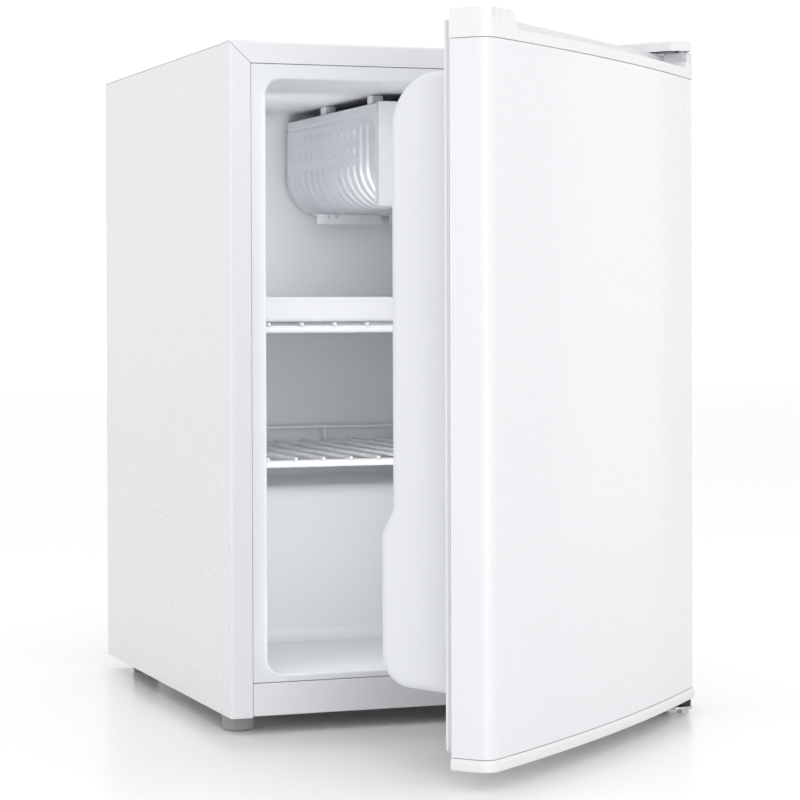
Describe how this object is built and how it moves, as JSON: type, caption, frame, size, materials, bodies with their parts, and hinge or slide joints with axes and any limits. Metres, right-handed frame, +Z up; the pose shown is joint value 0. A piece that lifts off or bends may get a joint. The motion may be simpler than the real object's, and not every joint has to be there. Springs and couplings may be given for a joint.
{
  "type": "compact refrigerator",
  "caption": "Compact white refrigerator with a part-open bowed door, top-hung freezer flap, wire shelves, drip tray and a rear compressor with a wire condenser.",
  "frame": {"origin": "on the floor, under the middle of the whole object's box with the door as stored, part open", "axes": "+X to the right across the front, +Y to the back, +Z up; the door side faces -Y"},
  "size_m": [0.45, 0.7942, 0.6318],
  "materials": {
    "painted_steel": "gloss white enamel on steel sheet",
    "moulded_white": "satin white moulded plastic",
    "liner": "vacuum-formed white polystyrene",
    "foam": "rigid polyurethane foam, hidden between the skins",
    "aluminium": "satin roll-bond aluminium sheet",
    "zinc": "zinc-plated steel",
    "black_steel": "black enamel on steel",
    "black_plastic": "matte black plastic",
    "rubber": "matte rubber",
    "copper": "drawn copper tube",
    "seal": "soft white magnetic seal",
    "coated_wire": "white plastic-coated steel wire",
    "grey_plastic": "moulded grey plastic"
  },
  "bodies": {
    "cabinet": {"side_panel_left": "painted_steel", "side_panel_right": "painted_steel", "top_panel": "painted_steel", "bottom_front_rail": "painted_steel", "back_panel": "painted_steel", "freezer_back_plate": "moulded_white", "freezer_front_frame": "moulded_white", "thermostat_housing": "moulded_white", "top_hinge_cover": "moulded_white", "freezer_hanger_front_left": "moulded_white", "freezer_hanger_front_right": "moulded_white", "freezer_hanger_rear_left": "moulded_white", "freezer_hanger_rear_right": "moulded_white", "inner_liner": "liner", "cabinet_foam": "foam", "evaporator": "aluminium", "evaporator_bracket_1": "aluminium", "evaporator_bracket_2": "aluminium", "bottom_plate": "zinc", "bay_divider": "zinc", "compressor_base": "zinc", "top_hinge_bracket": "zinc", "bottom_hinge_bracket": "zinc", "bottom_hinge_pin": "zinc", "compressor": "black_steel", "condenser_coil": "black_steel", "compressor_relay_cover": "black_plastic", "bottom_hinge_bush": "black_plastic", "cord_gland": "black_plastic", "condenser_clip_top_left": "black_plastic", "condenser_clip_bottom_left": "black_plastic", "condenser_clip_top_right": "black_plastic", "condenser_clip_bottom_right": "black_plastic", "compressor_grommet_1": "rubber", "compressor_grommet_2": "rubber", "compressor_grommet_3": "rubber", "compressor_grommet_4": "rubber", "suction_tube": "copper", "discharge_tube": "copper", "filter_drier": "copper", "rear_foot_left": "grey_plastic", "rear_foot_right": "grey_plastic"},
    "door": {"door_outer_panel": "painted_steel", "door_top_cap": "moulded_white", "door_bottom_cap": "moulded_white", "door_liner": "liner", "door_foam": "foam", "door_gasket": "seal", "door_rail_upper": "moulded_white", "door_rail_middle": "moulded_white", "door_rail_lower": "moulded_white"},
    "flap": {"freezer_flap": "moulded_white"},
    "upper_shelf": {"upper_shelf": "coated_wire"},
    "drip_tray": {"drip_tray": "moulded_white"},
    "lower_shelf": {"lower_shelf": "coated_wire"},
    "knob": {"thermostat_knob": "grey_plastic"},
    "foot_left": {"front_foot_left": "grey_plastic"},
    "foot_right": {"front_foot_right": "grey_plastic"}
  },
  "joints": [
    {"name": "door_hinge", "type": "hinge", "parent": "cabinet", "child": "door", "pos_m": [0.20605, -0.10491, 0], "axis": [0, 0, 1], "range_deg": [-42.37, 77.6]},
    {"name": "freezer_flap_hinge", "type": "hinge", "parent": "cabinet", "child": "flap", "pos_m": [0, 0.05132, 0.578], "axis": [-1, 0, 0], "range_deg": [0, 90]},
    {"name": "upper_shelf_slide", "type": "slide", "parent": "cabinet", "child": "upper_shelf", "axis": [0, -1, 0], "range_m": [0, 0.05]},
    {"name": "drip_tray_slide", "type": "slide", "parent": "upper_shelf", "child": "drip_tray", "axis": [0, -1, 0], "range_m": [0, 0.05]},
    {"name": "lower_shelf_slide", "type": "slide", "parent": "cabinet", "child": "lower_shelf", "axis": [0, -1, 0], "range_m": [0, 0.05]},
    {"name": "thermostat_turn", "type": "hinge", "parent": "cabinet", "child": "knob", "pos_m": [0.1541, 0.13712, 0.439], "axis": [1, 0, 0], "range_deg": [0, 300]},
    {"name": "foot_left_turn", "type": "hinge", "parent": "cabinet", "child": "foot_left", "pos_m": [-0.209, -0.03488, 0], "axis": [0, 0, 1], "continuous": true},
    {"name": "foot_right_turn", "type": "hinge", "parent": "cabinet", "child": "foot_right", "pos_m": [0.209, -0.03488, 0], "axis": [0, 0, 1], "continuous": true}
  ]
}
